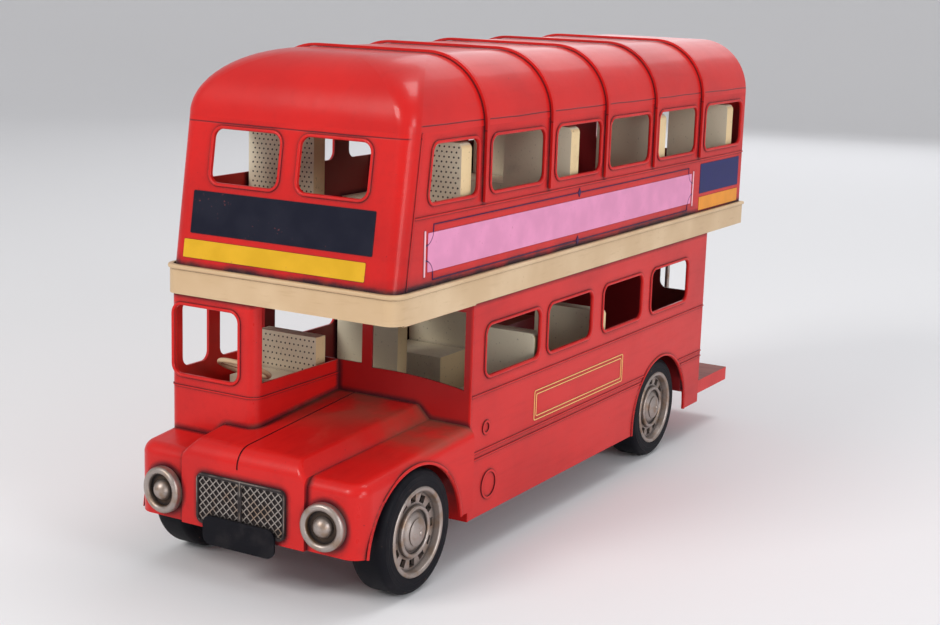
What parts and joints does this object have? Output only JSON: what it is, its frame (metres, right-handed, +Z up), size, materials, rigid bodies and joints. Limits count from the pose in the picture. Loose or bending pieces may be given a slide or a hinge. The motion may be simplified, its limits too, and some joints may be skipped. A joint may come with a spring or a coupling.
{
  "type": "toy half-cab double decker bus",
  "caption": "Handmade tin-plate toy double decker bus with a half cab, open rear platform, open windows, seats on both decks and free-rolling wheels.",
  "frame": {"origin": "centre of the bounding box at ground level, under the tyres", "axes": "+Z up, -Y towards the front of the bus, +X to the bus's own left (kerb) side"},
  "size_m": [0.1046, 0.3316, 0.1863],
  "materials": {
    "red_paint": "satin",
    "cream_paint": "satin",
    "seat_cream": "matt",
    "aged_silver": "satin",
    "black_paint": "satin",
    "tyre_black": "satin"
  },
  "bodies": {
    "body": {"lower_side_left": "red_paint", "lower_side_right": "red_paint", "cab_shell": "red_paint", "front_bulkhead": "red_paint", "bonnet_wings": "red_paint", "upper_deck_floor": "red_paint", "upper_front": "red_paint", "upper_side_left": "red_paint", "upper_side_right": "red_paint", "upper_rear": "red_paint", "roof": "red_paint", "roof_ribs": "red_paint", "floor_pan": "red_paint", "front_pan": "red_paint", "wheel_boxes": "red_paint", "rear_platform": "red_paint", "rear_lower_panel": "red_paint", "saloon_partition": "red_paint", "staircase": "red_paint", "window_beads": "red_paint", "side_mouldings": "red_paint", "waist_band": "cream_paint", "steering_wheel": "cream_paint", "driver_seat": "seat_cream", "lower_seats_left": "seat_cream", "lower_seats_right": "seat_cream", "upper_seats_left": "seat_cream", "upper_seats_right": "seat_cream", "headlamp_left": "aged_silver", "headlamp_right": "aged_silver", "grille": "aged_silver", "grab_pole": "aged_silver", "number_plate": "black_paint", "front_axle": "black_paint", "rear_axle": "black_paint", "front_hangers": "black_paint"},
    "front_left_wheel": {"front_left_tyre": "tyre_black", "front_left_disc": "aged_silver"},
    "front_right_wheel": {"front_right_tyre": "tyre_black", "front_right_disc": "aged_silver"},
    "rear_left_wheel": {"rear_left_tyre": "tyre_black", "rear_left_disc": "aged_silver"},
    "rear_right_wheel": {"rear_right_tyre": "tyre_black", "rear_right_disc": "aged_silver"}
  },
  "joints": [
    {"name": "front_left_roll", "type": "hinge", "parent": "body", "child": "front_left_wheel", "pos_m": [0.049, -0.1281, 0.0225], "axis": [1, 0, 0], "continuous": true},
    {"name": "front_right_roll", "type": "hinge", "parent": "body", "child": "front_right_wheel", "pos_m": [-0.049, -0.1281, 0.0225], "axis": [1, 0, 0], "continuous": true},
    {"name": "rear_left_roll", "type": "hinge", "parent": "body", "child": "rear_left_wheel", "pos_m": [0.0454, 0.0785, 0.0225], "axis": [1, 0, 0], "continuous": true},
    {"name": "rear_right_roll", "type": "hinge", "parent": "body", "child": "rear_right_wheel", "pos_m": [-0.0454, 0.0785, 0.0225], "axis": [1, 0, 0], "continuous": true}
  ]
}
